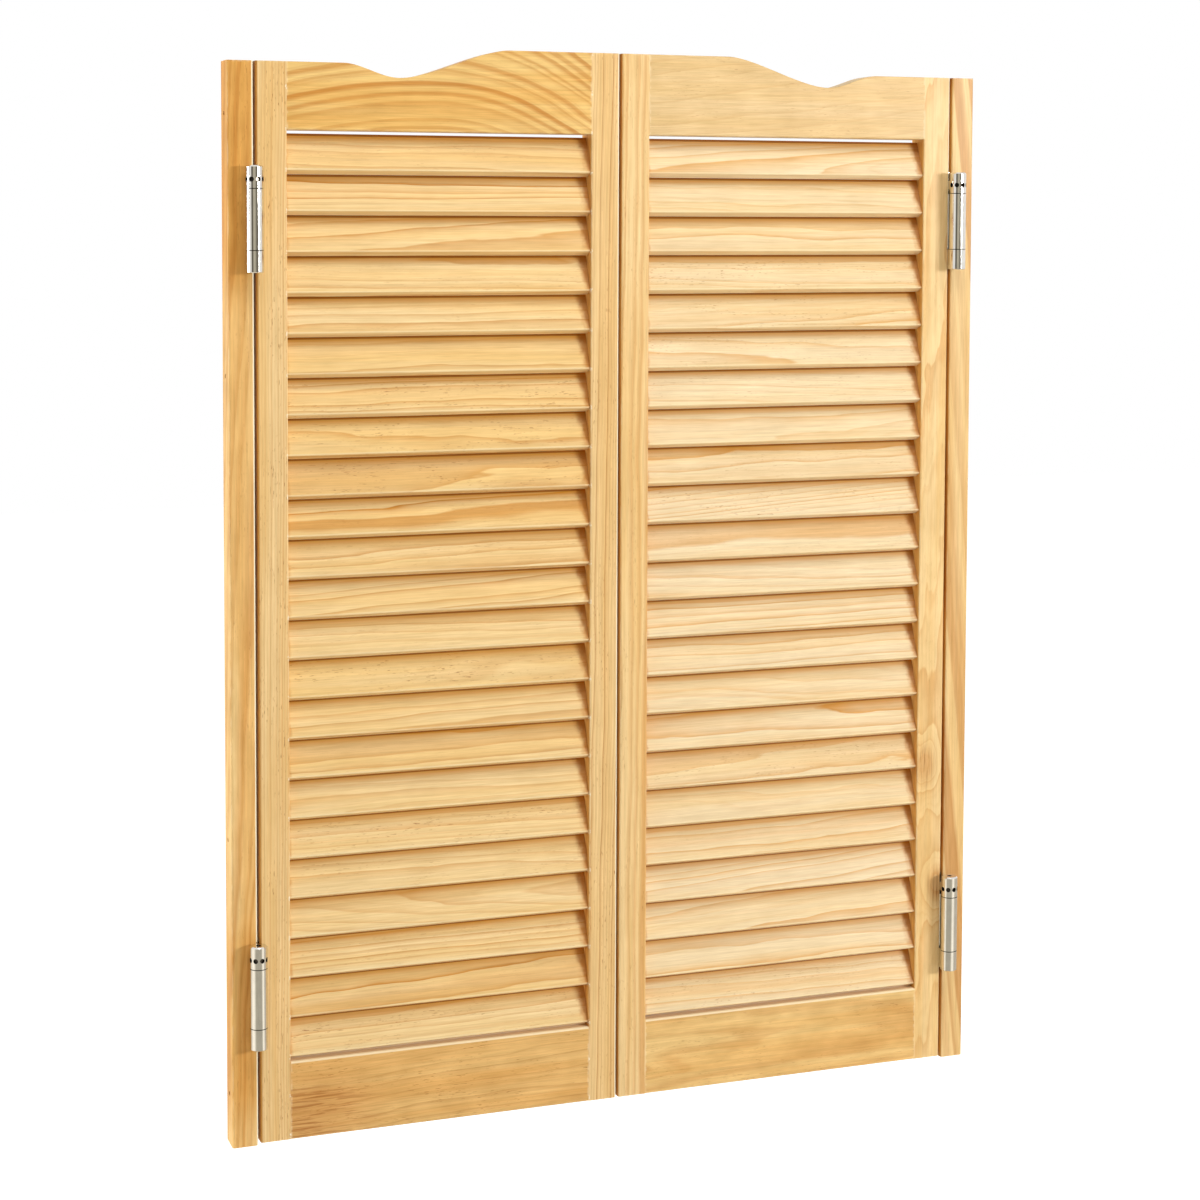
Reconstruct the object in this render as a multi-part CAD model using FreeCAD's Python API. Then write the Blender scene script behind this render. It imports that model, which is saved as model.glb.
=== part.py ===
"""Pair of louvered cafe doors on double-action spring hinges, with the two
side strips that fix them to a doorway.  Millimetres.  X runs across the
doorway, Y runs from the front (negative) to the back, Z is up from the foot
of the strips.  The meeting line of the leaves is X = 0 and the middle of the
doors' thickness is Y = 0."""

import FreeCAD
import Part
import math
import os

V = FreeCAD.Vector

# ---------------------------------------------------------------- leaves
DOOR_T = 28.5            # thickness of leaves and strips
LEAF_W = 369.0           # width of one leaf
MEETING_GAP = 2.4        # between the two leaves
HEIGHT = 1067.0          # strips' feet to the meeting side's top
PEAK_RISE = 16.0         # that top above the hinge side and the strips
DIP_DEPTH = 13.3         # lowest point of the curved top below the hinge side
FOOT_RISE = 2.0          # leaf's bottom edge above the strips' feet
LEVEL_END = 0.232        # hinge edge to the end of the level shoulder, in leaf widths
DIP_AT = 0.383           # to the lowest point
PEAK_AT = 0.688          # to the start of the level peak
STILE_W = 30.0
TOP_RAIL_H = 65.0        # at the hinge side
BOTTOM_RAIL_H = 77.0
EDGE_R = 2.5             # rounding of the upright outer edges
OPENING_R = 1.6          # rounding round the louvered opening
TRIM_R = 1.0             # small rounding of top and bottom edges

# ---------------------------------------------------------------- louvres
LOUVRE_W = 38.4
LOUVRE_T = 12.0
LOUVRE_R = 1.2           # rounding of a louvre's long edges
LOUVRE_INSET = 2.0       # lower front edge behind the leaf's front face
LOUVRE_BACK = 0.72       # upper rear edge inside the leaf's back face
LOUVRE_LAP = 0.75        # least overlap in height of one louvre and the next
LOUVRE_TOP_GAP = 2.5     # under the top rail
LOUVRE_FOOT_GAP = 0.25   # over the bottom rail
HOUSING = 8.0            # depth of the slots in the stiles
HOUSING_CLEAR = 0.15
HOUSING_END_GAP = 0.5

# ---------------------------------------------------------------- dowels
DOWEL_R = 5.0
DOWEL_CLEAR = 0.05
DOWEL_KEEP = 10.0        # wood between a dowel's end and the stile's outer edge
DOWEL_IN_RAIL = 40.0
DOWEL_END_GAP = 1.0
DOWEL_MARGIN = 17.0      # dowel centre from a rail's upper and lower edge

# ---------------------------------------------------------------- strips
STRIP_W = 25.4
STRIP_R = 2.5
FIX_R = 2.25             # clearance holes for the doorway screws
FIX_SINK_R = 4.4
FIX_OUTER = 50.0         # outer pair, from the strip's ends
FIX_INNER = 300.5        # inner pair

# ---------------------------------------------------------------- hinges
HINGE_GAP = 2.4          # between a leaf and its strip
HINGE_H = 101.6
HINGE_FROM_FOOT = 150.8  # middle of the lower hinges above the strips' feet
HINGE_FROM_TOP = 150.2   # middle of the upper hinges below the strips' tops
BARREL_R = 8.5
BARREL_OFF_FACE = 3.6    # barrel to the door's face
BARREL_SHIFT = 2.8       # barrel axis from the middle of the gap, to the strip
COLLAR_H = 21.0
SEAM = 0.3               # gap between the turning sections
CAP_H = 21.8
TUBE_WALL = 1.2
PLATE_T = 1.2
PLATE_BACK = 4.0         # plates stop this far from the far face
PLATE_R = 3.0
MORTISE_CLEAR = 0.1
SPIGOT_H = 6.0
RUN_FIT = 0.05           # radial running fit of a spigot in its tube
SPINDLE_FIT = 0.03       # radial running fit of the spindle in cap and collar
SPINDLE_FOOT = 0.8
SPRING_WIRE = 2.4        # side of the square wire
SPRING_PITCH = 4.6
SPRING_CLEAR = 0.7       # between the coil and its tube
SPRING_BORE_CLEAR = 1.2  # between the coil and the spindle
OIL_HOLE_R = 2.5         # in the middle of the cap's end
CAP_END_T = 2.6          # end wall of the cap, over the spindle
CAP_RIM = 1.3            # chamfer of the cap's outer end
COLLAR_RIM = 0.6         # chamfer of the collar's outer end
BAR_HOLES = 8
BAR_HOLE_R = 2.4
BAR_HOLE_DEPTH = 2.6
BAR_HOLE_DROP = 13.2     # hole centres below the cap's top
PIN_R = 2.2
PIN_OUT = 3.0            # pin stands out of the cap
PIN_CLEAR = 0.05         # pin to the arm that stops it
STOP_H = 9.0             # height of the arm that the lock pin rests on
STOP_CLEAR = 0.4

# ---------------------------------------------------------------- screws
SCREW_R = 1.9
SCREW_HEAD_R = 3.6
SCREW_HEAD_H = 1.7
SCREW_KEEP = 4.0         # wood past a screw's point
SCREW_POINT = 4.0
SCREW_CLEAR = 0.05
SCREW_EDGE = 15.0        # outer screws from the plate's ends
SCREW_STAGGER = 4.0

HALF_T = DOOR_T / 2
DOWEL_IN_STILE = STILE_W - DOWEL_KEEP
SCREW_L = min(STILE_W - HOUSING, STRIP_W) - SCREW_KEEP
SHOULDER_Z = HEIGHT - PEAK_RISE
DIP_Z = SHOULDER_Z - DIP_DEPTH
TOP_RAIL_Z = SHOULDER_Z - TOP_RAIL_H
BOTTOM_RAIL_Z = FOOT_RISE + BOTTOM_RAIL_H
MEET_X = MEETING_GAP / 2
HINGE_X = MEET_X + LEAF_W             # leaf's hinge edge
GAP_X = HINGE_X + HINGE_GAP / 2       # middle of the hinge gap
STRIP_X = HINGE_X + HINGE_GAP         # strip's inner face
OUTER_X = STRIP_X + STRIP_W
AXIS_Y = HALF_T + BARREL_OFF_FACE + BARREL_R
TUBE_R = BARREL_R - TUBE_WALL
SPRING_MEAN_R = TUBE_R - SPRING_CLEAR - SPRING_WIRE / 2
SPINDLE_R = SPRING_MEAN_R - SPRING_WIRE / 2 - SPRING_BORE_CLEAR
TUBE_LOW = COLLAR_H + SEAM
TUBE_HIGH = HINGE_H - CAP_H - SEAM
CAP_LOW = HINGE_H - CAP_H
OPEN_IN = MEET_X + STILE_W            # opening, meeting side
OPEN_OUT = HINGE_X - STILE_W          # opening, hinge side

# A louvre leans until its edges are as far apart in depth as the leaf allows.
LEAN = (math.asin((DOOR_T - LOUVRE_INSET - LOUVRE_BACK) / math.hypot(LOUVRE_W, LOUVRE_T))
        - math.atan2(LOUVRE_T, LOUVRE_W))
LOUVRE_RISE = LOUVRE_W * math.cos(LEAN)    # above its lower front edge
LOUVRE_DROP = LOUVRE_T * math.sin(LEAN)    # below it
FIRST_LOUVRE_Z = TOP_RAIL_Z - LOUVRE_TOP_GAP - LOUVRE_RISE
LAST_LOUVRE_Z = BOTTOM_RAIL_Z + LOUVRE_FOOT_GAP + LOUVRE_DROP
LOUVRE_STEPS = math.ceil((FIRST_LOUVRE_Z - LAST_LOUVRE_Z)
                         / (LOUVRE_RISE + LOUVRE_DROP - LOUVRE_LAP))
LOUVRE_PITCH = (FIRST_LOUVRE_Z - LAST_LOUVRE_Z) / LOUVRE_STEPS

UP = V(0, 0, 1)


def box(x0, x1, y0, y1, z0, z1):
    return Part.makeBox(x1 - x0, y1 - y0, z1 - z0, V(x0, y0, z0))


def cyl(r, p, d, length):
    return Part.makeCylinder(r, length, p, d)


def mirrored(shape):
    return shape.mirror(V(0, 0, 0), V(1, 0, 0))


def upright_edges(shape, x=None):
    """Edges parallel to Z, all of them or those at one X."""
    found = []
    for e in shape.Edges:
        a, b = e.Vertexes[0].Point, e.Vertexes[-1].Point
        if abs(a.x - b.x) < 1e-6 and abs(a.y - b.y) < 1e-6:
            if x is None or abs(a.x - x) < 1e-6:
                found.append(e)
    return found


def edge_round(r, start, along, length, into_a, into_b):
    """What rounding takes off a straight outer edge: a square bar along the
    edge less the round bar inside it."""
    side = 0.5
    pts = [
        start - into_a * side - into_b * side,
        start + into_a * r - into_b * side,
        start + into_a * r + into_b * r,
        start - into_a * side + into_b * r,
    ]
    bar = Part.Face(Part.makePolygon(pts + pts[:1])).extrude(along * length)
    core = cyl(r, start + into_a * r + into_b * r - along, along, length + 2)
    return bar.cut(core)


# ---------------------------------------------------------------- louvres
def louvre_profile(grow):
    """Cross-section of the top louvre in the Y-Z plane, made larger by grow."""
    up = V(0, math.sin(LEAN), math.cos(LEAN))
    front = V(0, -math.cos(LEAN), math.sin(LEAN))
    c = V(0, -HALF_T + LOUVRE_INSET, FIRST_LOUVRE_Z) - up * grow + front * grow
    w, t, r = LOUVRE_W + 2 * grow, LOUVRE_T + 2 * grow, LOUVRE_R + grow

    def at(s, n):
        return c + up * s - front * n

    k = r * (1 - math.sqrt(0.5))
    return Part.Wire([
        Part.makeLine(at(0, r), at(0, t - r)),
        Part.Arc(at(0, t - r), at(k, t - k), at(r, t)).toShape(),
        Part.makeLine(at(r, t), at(w - r, t)),
        Part.Arc(at(w - r, t), at(w - k, t - k), at(w, t - r)).toShape(),
        Part.makeLine(at(w, t - r), at(w, r)),
        Part.Arc(at(w, r), at(w - k, k), at(w - r, 0)).toShape(),
        Part.makeLine(at(w - r, 0), at(r, 0)),
        Part.Arc(at(r, 0), at(k, k), at(0, r)).toShape(),
    ])


def louvre_bars(x0, x1, grow=0.0):
    face = Part.Face(louvre_profile(grow))
    face.translate(V(x0, 0, 0))
    bar = face.extrude(V(x1 - x0, 0, 0))
    bars = []
    for n in range(LOUVRE_STEPS + 1):
        b = bar.copy()
        b.translate(V(0, 0, -n * LOUVRE_PITCH))
        bars.append(b)
    return bars


# ---------------------------------------------------------------- right leaf's wood
def dowel_bars(x, into_stile, extra_r=0.0, extra_l=0.0):
    """Dowels across the joint at x; into_stile is +1 or -1 along X."""
    bars = []
    for low, high in ((FOOT_RISE, BOTTOM_RAIL_Z), (TOP_RAIL_Z, SHOULDER_Z)):
        for z in (low + DOWEL_MARGIN, high - DOWEL_MARGIN):
            a = x + into_stile * (DOWEL_IN_STILE + extra_l)
            b = x - into_stile * (DOWEL_IN_RAIL + extra_l)
            bars.append(cyl(DOWEL_R + extra_r, V(min(a, b), 0, z), V(1, 0, 0),
                            abs(a - b)))
    return bars


def dowel_holes(x, into_stile):
    return dowel_bars(x, into_stile, DOWEL_CLEAR, DOWEL_END_GAP)


def opening_rounding(x, into_x):
    """Rounding of a stile's two edges beside the opening."""
    h = TOP_RAIL_Z - BOTTOM_RAIL_Z
    return [
        edge_round(OPENING_R, V(x, y, BOTTOM_RAIL_Z), UP, h, V(into_x, 0, 0),
                   V(0, -1 if y > 0 else 1, 0))
        for y in (-HALF_T, HALF_T)
    ]


def rail_rounding(z, into_z):
    """Rounding of a rail's two edges beside the opening."""
    return [
        edge_round(OPENING_R, V(OPEN_IN, y, z), V(1, 0, 0), OPEN_OUT - OPEN_IN,
                   V(0, 0, into_z), V(0, -1 if y > 0 else 1, 0))
        for y in (-HALF_T, HALF_T)
    ]


def trim(shape, z):
    """Small rounding of the long edges at the height z."""
    found = []
    for e in shape.Edges:
        a, b = e.Vertexes[0].Point, e.Vertexes[-1].Point
        level = abs(a.z - z) < 1e-6 and abs(b.z - z) < 1e-6
        if level and abs(abs(a.y) - HALF_T) < 1e-6 and abs(a.y - b.y) < 1e-6:
            found.append(e)
    return shape.makeFillet(TRIM_R, found)


def stile(x0, x1, outer_x, top_z):
    s = box(x0, x1, -HALF_T, HALF_T, FOOT_RISE, top_z)
    s = s.makeFillet(EDGE_R, upright_edges(s, outer_x))
    inner_x = x1 if outer_x == x0 else x0
    sign = 1 if inner_x == x1 else -1
    a, b = inner_x - sign * HOUSING, inner_x + sign * 1.0
    s = s.cut(opening_rounding(inner_x, -sign))
    s = s.cut(louvre_bars(min(a, b), max(a, b), HOUSING_CLEAR))
    return s.cut(dowel_holes(inner_x, -sign))


def top_rail():
    """Rail with the curved top, drawn as its front outline and given thickness."""
    x = lambda d: HINGE_X - d * LEAF_W
    level = V(x(LEVEL_END), 0, SHOULDER_Z)
    dip = V(x(DIP_AT), 0, DIP_Z)
    peak = V(x(PEAK_AT), 0, HEIGHT)
    low_a, low_b = V(OPEN_IN, 0, TOP_RAIL_Z), V(OPEN_OUT, 0, TOP_RAIL_Z)
    shoulder = V(OPEN_OUT, 0, SHOULDER_Z)
    crest = V(OPEN_IN, 0, HEIGHT)

    def ease(a, b, ka, kb):
        """S-curve, level at both ends."""
        d = b.x - a.x
        c = Part.BezierCurve()
        c.setPoles([a, V(a.x + ka * d, 0, a.z), V(b.x - kb * d, 0, b.z), b])
        return c.toShape()

    wire = Part.Wire([
        Part.makeLine(low_a, low_b),
        Part.makeLine(low_b, shoulder),
        Part.makeLine(shoulder, level),
        ease(level, dip, 0.33, 0.35),
        ease(dip, peak, 0.28, 0.26),
        Part.makeLine(peak, crest),
        Part.makeLine(crest, low_a),
    ])
    wire.translate(V(0, -HALF_T, 0))
    rail = Part.Face(wire).extrude(V(0, DOOR_T, 0))
    rail = rail.cut(rail_rounding(TOP_RAIL_Z, 1))
    return rail.cut(dowel_holes(OPEN_IN, -1) + dowel_holes(OPEN_OUT, 1))


def bottom_rail():
    rail = box(OPEN_IN, OPEN_OUT, -HALF_T, HALF_T, FOOT_RISE, BOTTOM_RAIL_Z)
    rail = rail.cut(rail_rounding(BOTTOM_RAIL_Z, -1))
    return rail.cut(dowel_holes(OPEN_IN, -1) + dowel_holes(OPEN_OUT, 1))


# ---------------------------------------------------------------- hinges
# A hinge is drawn round the middle of its gap, standing on Z = 0, as it sits
# on the left of the doorway: its strip is on the -X side.  The barrel that the
# strip's plate carries ("jamb") is in front and the leaf's is behind.  The
# right-hand hinges are the same hinge turned half a turn about Z.
BARREL_X = -BARREL_SHIFT


def barrel_y(who):
    return -AXIS_Y if who == "jamb" else AXIS_Y


def barrel_cyl(who, r, z0, z1):
    return cyl(r, V(BARREL_X, barrel_y(who), z0), UP, z1 - z0)


def pin_angle(who):
    """Turn of the lock pin's hole from the line towards the door, so that the
    pin lies against its stop arm, in degrees towards -X (jamb) or +X (leaf)."""
    face = HINGE_GAP / 2
    if who == "jamb":
        reach = BARREL_R + STOP_CLEAR
        room = face + PLATE_T - BARREL_SHIFT + PIN_CLEAR
    else:
        reach = BARREL_R + PIN_OUT
        room = -(face + BARREL_SHIFT - PIN_CLEAR)
    # sine of the angle, found by repeated substitution
    a = 0.2
    for _ in range(30):
        a = abs(math.asin((PIN_R / math.cos(a) + room) / reach))
    return math.degrees(a)


def hole_direction(who, n):
    """Unit vector of the n-th bar hole of a cap; hole 0 takes the lock pin."""
    a = math.radians(pin_angle(who) + n * 360.0 / BAR_HOLES)
    side = -1 if who == "jamb" else 1
    to_door = 1 if who == "jamb" else -1
    return V(side * math.sin(a), to_door * math.cos(a), 0)


def collar(who):
    c = barrel_cyl(who, BARREL_R, 0, COLLAR_H)
    rims = [e for e in c.Edges if e.Curve.TypeId == "Part::GeomCircle"
            and abs(e.Curve.Center.z) < 1e-6]
    c = c.makeChamfer(COLLAR_RIM, rims)
    c = c.fuse(barrel_cyl(who, TUBE_R - RUN_FIT, COLLAR_H - 1,
                          COLLAR_H + SPIGOT_H)).removeSplitter()
    return c.cut(barrel_cyl(who, SPINDLE_R + SPINDLE_FIT, SPINDLE_FOOT,
                            COLLAR_H + SPIGOT_H + 1))


def cap(who):
    c = barrel_cyl(who, BARREL_R, CAP_LOW, HINGE_H)
    rims = [e for e in c.Edges if e.Curve.TypeId == "Part::GeomCircle"
            and abs(e.Curve.Center.z - HINGE_H) < 1e-6]
    c = c.makeChamfer(CAP_RIM, rims)
    c = c.fuse(barrel_cyl(who, TUBE_R - RUN_FIT, CAP_LOW - SPIGOT_H,
                          CAP_LOW + 1)).removeSplitter()
    tools = [
        barrel_cyl(who, SPINDLE_R + SPINDLE_FIT, CAP_LOW - SPIGOT_H - 1,
                   HINGE_H - CAP_END_T),
        barrel_cyl(who, OIL_HOLE_R, HINGE_H - CAP_END_T - 1, HINGE_H + 1),
    ]
    mid = V(BARREL_X, barrel_y(who), HINGE_H - BAR_HOLE_DROP)
    for n in range(BAR_HOLES):
        d = hole_direction(who, n)
        tools.append(cyl(BAR_HOLE_R, mid + d * (BARREL_R - BAR_HOLE_DEPTH), d,
                         BAR_HOLE_DEPTH + 1))
    return c.cut(tools)


def lock_pin(who):
    d = hole_direction(who, 0)
    mid = V(BARREL_X, barrel_y(who), HINGE_H - BAR_HOLE_DROP)
    inner = BARREL_R - BAR_HOLE_DEPTH
    return cyl(PIN_R, mid + d * inner, d, BARREL_R + PIN_OUT - inner)


def spindle(who):
    return barrel_cyl(who, SPINDLE_R, SPINDLE_FOOT, HINGE_H - CAP_END_T)


def spring(who):
    """Torsion coil between the collar's and the cap's spigots, ends ground flat."""
    z0, z1 = COLLAR_H + SPIGOT_H, CAP_LOW - SPIGOT_H
    spare = 2 * SPRING_PITCH
    path = Part.Wire(Part.makeHelix(SPRING_PITCH, z1 - z0 + 2 * spare, SPRING_MEAN_R))
    h = SPRING_WIRE / 2
    square = Part.makePolygon([V(SPRING_MEAN_R + a * h, 0, b * h) for a, b in
                               ((-1, -1), (1, -1), (1, 1), (-1, 1), (-1, -1))])
    sweep = Part.BRepOffsetAPI.MakePipeShell(path)
    sweep.setBiNormalMode(UP)
    sweep.add(square)
    sweep.build()
    sweep.makeSolid()
    coil = sweep.shape()
    if coil.Volume < 0:
        coil.reverse()
    coil.translate(V(BARREL_X, barrel_y(who), z0 - spare))
    return coil.common(barrel_cyl(who, BARREL_R, z0, z1)).Solids[0]


def plate_x(who):
    """Near and far face of a screwed plate."""
    g = HINGE_GAP / 2
    return (-g - PLATE_T, -g) if who == "jamb" else (g, g + PLATE_T)


def plate_y(who):
    """The plate's edge at its own barrel's side, and its other edge."""
    if who == "jamb":
        return -HALF_T, HALF_T - PLATE_BACK
    return HALF_T, -HALF_T + PLATE_BACK


def screw_points(who):
    """Middle of each screw head on the plate's outer face."""
    x = -HINGE_GAP / 2 if who == "jamb" else HINGE_GAP / 2
    a, b = plate_y(who)
    mid, step = (a + b) / 2, SCREW_STAGGER * (1 if who == "jamb" else -1)
    return [
        V(x, mid - step, SCREW_EDGE),
        V(x, mid + step, HINGE_H / 2),
        V(x, mid - step, HINGE_H - SCREW_EDGE),
    ]


def screw(p, into, grow=0.0):
    """Countersunk wood screw with its flat head at p."""
    head = Part.makeCone(SCREW_HEAD_R + grow, SCREW_R + grow, SCREW_HEAD_H, p, into)
    shank = cyl(SCREW_R + grow, p + into * SCREW_HEAD_H, into,
                SCREW_L - SCREW_HEAD_H - SCREW_POINT)
    point = Part.makeCone(SCREW_R + grow, 0.4 + grow, SCREW_POINT + grow,
                          p + into * (SCREW_L - SCREW_POINT), into)
    return head.fuse([shank, point]).removeSplitter()


def screws(who):
    into = V(-1, 0, 0) if who == "jamb" else V(1, 0, 0)
    return [screw(p, into) for p in screw_points(who)]


def screw_holes(who):
    into = V(-1, 0, 0) if who == "jamb" else V(1, 0, 0)
    return [screw(p, into, SCREW_CLEAR) for p in screw_points(who)]


def flange(who):
    """Screwed plate with its two arms and the collar that ends the lower arm."""
    x0, x1 = plate_x(who)
    a, b = plate_y(who)
    leaf = box(x0, x1, min(a, b), max(a, b), 0, HINGE_H)
    corners = []
    for e in leaf.Edges:
        p, q = e.Vertexes[0].Point, e.Vertexes[-1].Point
        if abs(p.y - b) < 1e-6 and abs(q.y - b) < 1e-6 and abs(p.x - q.x) > 0.5:
            corners.append(e)
    leaf = leaf.makeFillet(PLATE_R, corners)
    y = barrel_y(who)
    low = box(x0, x1, min(a, y), max(a, y), 0, COLLAR_H - SEAM).cut(
        barrel_cyl(who, BARREL_R, -1, HINGE_H))
    z = HINGE_H - BAR_HOLE_DROP
    high = box(x0, x1, min(a, y), max(a, y), z - STOP_H / 2, z + STOP_H / 2).cut(
        barrel_cyl(who, BARREL_R + STOP_CLEAR, -1, HINGE_H + 1))
    leaf = leaf.cut(screw_holes(who))
    return leaf.fuse([low, high, collar(who)]).removeSplitter()


def mortise(who):
    """Room for the screwed plate in the wood, with its screw holes."""
    x0, x1 = plate_x(who)
    a, b = plate_y(who)
    past = 1.0
    x0, x1 = (x0, x1 + past) if who == "jamb" else (x0 - past, x1)
    y0 = min(a, b) - (past if a < b else MORTISE_CLEAR)
    y1 = max(a, b) + (MORTISE_CLEAR if a < b else past)
    room = box(x0, x1, y0, y1, -MORTISE_CLEAR, HINGE_H + MORTISE_CLEAR)
    return [room] + screw_holes(who)


def web():
    """Middle plate with the two tubes it joins."""
    tubes = [
        barrel_cyl(who, BARREL_R, TUBE_LOW, TUBE_HIGH).cut(
            barrel_cyl(who, TUBE_R, TUBE_LOW - 1, TUBE_HIGH + 1))
        for who in ("jamb", "leaf")
    ]
    plate = box(-PLATE_T / 2, PLATE_T / 2, -AXIS_Y, AXIS_Y, TUBE_LOW, TUBE_HIGH)
    for who in ("jamb", "leaf"):
        plate = plate.cut(barrel_cyl(who, BARREL_R, 0, HINGE_H))
    return plate.fuse(tubes).removeSplitter()


def placed(shapes, side, z_mid):
    """Solids of a hinge, moved to their place at the left or right doorway."""
    out = []
    for s in shapes:
        s = s.copy()
        if side == "right":
            s.rotate(V(0, 0, 0), UP, 180)
        s.translate(V(-GAP_X if side == "left" else GAP_X, 0, z_mid - HINGE_H / 2))
        out.append(s)
    return out


HINGES = [("upper", SHOULDER_Z - HINGE_FROM_TOP), ("lower", HINGE_FROM_FOOT)]


def both_hinges(make, side):
    return [s for _, z in HINGES for s in placed(make, side, z)]


# ---------------------------------------------------------------- strips
def strip(side):
    s = box(STRIP_X, OUTER_X, -HALF_T, HALF_T, 0, SHOULDER_Z)
    s = s.makeFillet(STRIP_R, upright_edges(s))
    tools = []
    for end in (FIX_INNER, FIX_OUTER):
        for z in (end, SHOULDER_Z - end):
            tools.append(cyl(FIX_R, V(STRIP_X - 1, 0, z), V(1, 0, 0), STRIP_W + 2))
            tools.append(Part.makeCone(FIX_SINK_R, FIX_R, FIX_SINK_R - FIX_R,
                                       V(STRIP_X, 0, z), V(1, 0, 0)))
    s = s.cut(tools)
    if side == "left":
        s = mirrored(s)
    return s.cut(both_hinges(mortise("jamb"), side))


# ---------------------------------------------------------------- all nodes
def build():
    nodes = {}
    hinge_stile = stile(OPEN_OUT, HINGE_X, HINGE_X, SHOULDER_Z)
    meeting_stile = stile(MEET_X, OPEN_IN, MEET_X, HEIGHT)
    rails = {
        "top_rail": trim(top_rail(), HEIGHT),
        "bottom_rail": trim(bottom_rail(), FOOT_RISE),
    }
    slats = louvre_bars(OPEN_IN - HOUSING + HOUSING_END_GAP,
                        OPEN_OUT + HOUSING - HOUSING_END_GAP)
    dowels = dowel_bars(OPEN_IN, -1) + dowel_bars(OPEN_OUT, 1)
    for side in ("left", "right"):
        put = mirrored if side == "left" else (lambda s: s)
        nodes[side + "_strip"] = [strip(side)]
        nodes[side + "_hinge_stile"] = [
            put(hinge_stile).cut(both_hinges(mortise("leaf"), side))]
        nodes[side + "_meeting_stile"] = [put(meeting_stile)]
        for name, shape in rails.items():
            nodes[side + "_" + name] = [put(shape)]
        nodes[side + "_louvres"] = [put(s) for s in slats]
        nodes[side + "_dowels"] = [put(s) for s in dowels]
        nodes[side + "_leaf_screws"] = both_hinges(screws("leaf"), side)
        nodes[side + "_leaf_lock_pins"] = both_hinges([lock_pin("leaf")], side)
        for level, z in HINGES:
            base = side + "_" + level + "_"
            nodes[base + "web"] = placed([web()], side, z)
            for who in ("jamb", "leaf"):
                nodes[base + who + "_flange"] = placed([flange(who)], side, z)
                nodes[base + who + "_cap"] = placed([cap(who)], side, z)
                nodes[base + who + "_spindle"] = placed([spindle(who)], side, z)
                nodes[base + who + "_spring"] = placed([spring(who)], side, z)
    nodes["jamb_screws"] = [
        s for side in ("left", "right") for s in both_hinges(screws("jamb"), side)]
    nodes["jamb_lock_pins"] = [
        s for side in ("left", "right")
        for s in both_hinges([lock_pin("jamb")], side)]
    return nodes


os.makedirs("parts", exist_ok=True)
for node, solids in build().items():
    shape = solids[0] if len(solids) == 1 else Part.makeCompound(solids)
    if not shape.isValid():
        raise ValueError(node + " is not a valid shape")
    shape.exportStep("parts/" + node + ".step")
    print(node, len(shape.Solids), round(shape.Volume, 1))
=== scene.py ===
import math

import bmesh
import bpy
from mathutils import Matrix, Vector


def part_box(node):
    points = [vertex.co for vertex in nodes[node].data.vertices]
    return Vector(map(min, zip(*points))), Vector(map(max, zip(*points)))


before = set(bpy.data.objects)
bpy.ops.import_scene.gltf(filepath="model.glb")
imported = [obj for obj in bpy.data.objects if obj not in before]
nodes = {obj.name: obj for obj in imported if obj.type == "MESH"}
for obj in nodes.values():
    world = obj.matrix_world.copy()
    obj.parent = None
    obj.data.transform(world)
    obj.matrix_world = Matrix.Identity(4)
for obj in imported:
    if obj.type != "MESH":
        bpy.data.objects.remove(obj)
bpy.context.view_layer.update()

scene = bpy.context.scene
MM = 1000.0              # millimetres in a metre


# ---------------------------------------------------------------- camera
# The lens sees a 1200 pixel square frame; its axis passes above the middle.
FRAME_PX = 1200
FOCAL_PX = 2431.6
AXIS_ROW_PX = 364.5
EYE = Vector((-0.8589, -2.3040, 0.9052))
YAW, PITCH, ROLL = 0.35065, 0.06117, 0.00341

ahead = Vector((math.sin(YAW) * math.cos(PITCH), math.cos(YAW) * math.cos(PITCH),
                -math.sin(PITCH)))
level_right = Vector((math.cos(YAW), -math.sin(YAW), 0))
level_up = level_right.cross(ahead)
right = level_right * math.cos(ROLL) + level_up * math.sin(ROLL)
up = right.cross(ahead)

lens = bpy.data.cameras.new("camera")
lens.sensor_width = 36
lens.lens = FOCAL_PX / FRAME_PX * 36
lens.shift_y = (AXIS_ROW_PX - FRAME_PX / 2) / FRAME_PX
lens.clip_start = 0.05
camera = bpy.data.objects.new("camera", lens)
scene.collection.objects.link(camera)
turn = Matrix((right, up, -ahead)).transposed().to_4x4()
camera.matrix_world = Matrix.Translation(EYE) @ turn
scene.camera = camera


# ---------------------------------------------------------------- shader helpers
def srgb(r, g, b):
    """Colour of 0 to 255 screen values, as the shader wants it."""
    def linear(c):
        c /= 255
        return c / 12.92 if c <= 0.04045 else ((c + 0.055) / 1.055) ** 2.4
    return (linear(r), linear(g), linear(b), 1)


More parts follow.
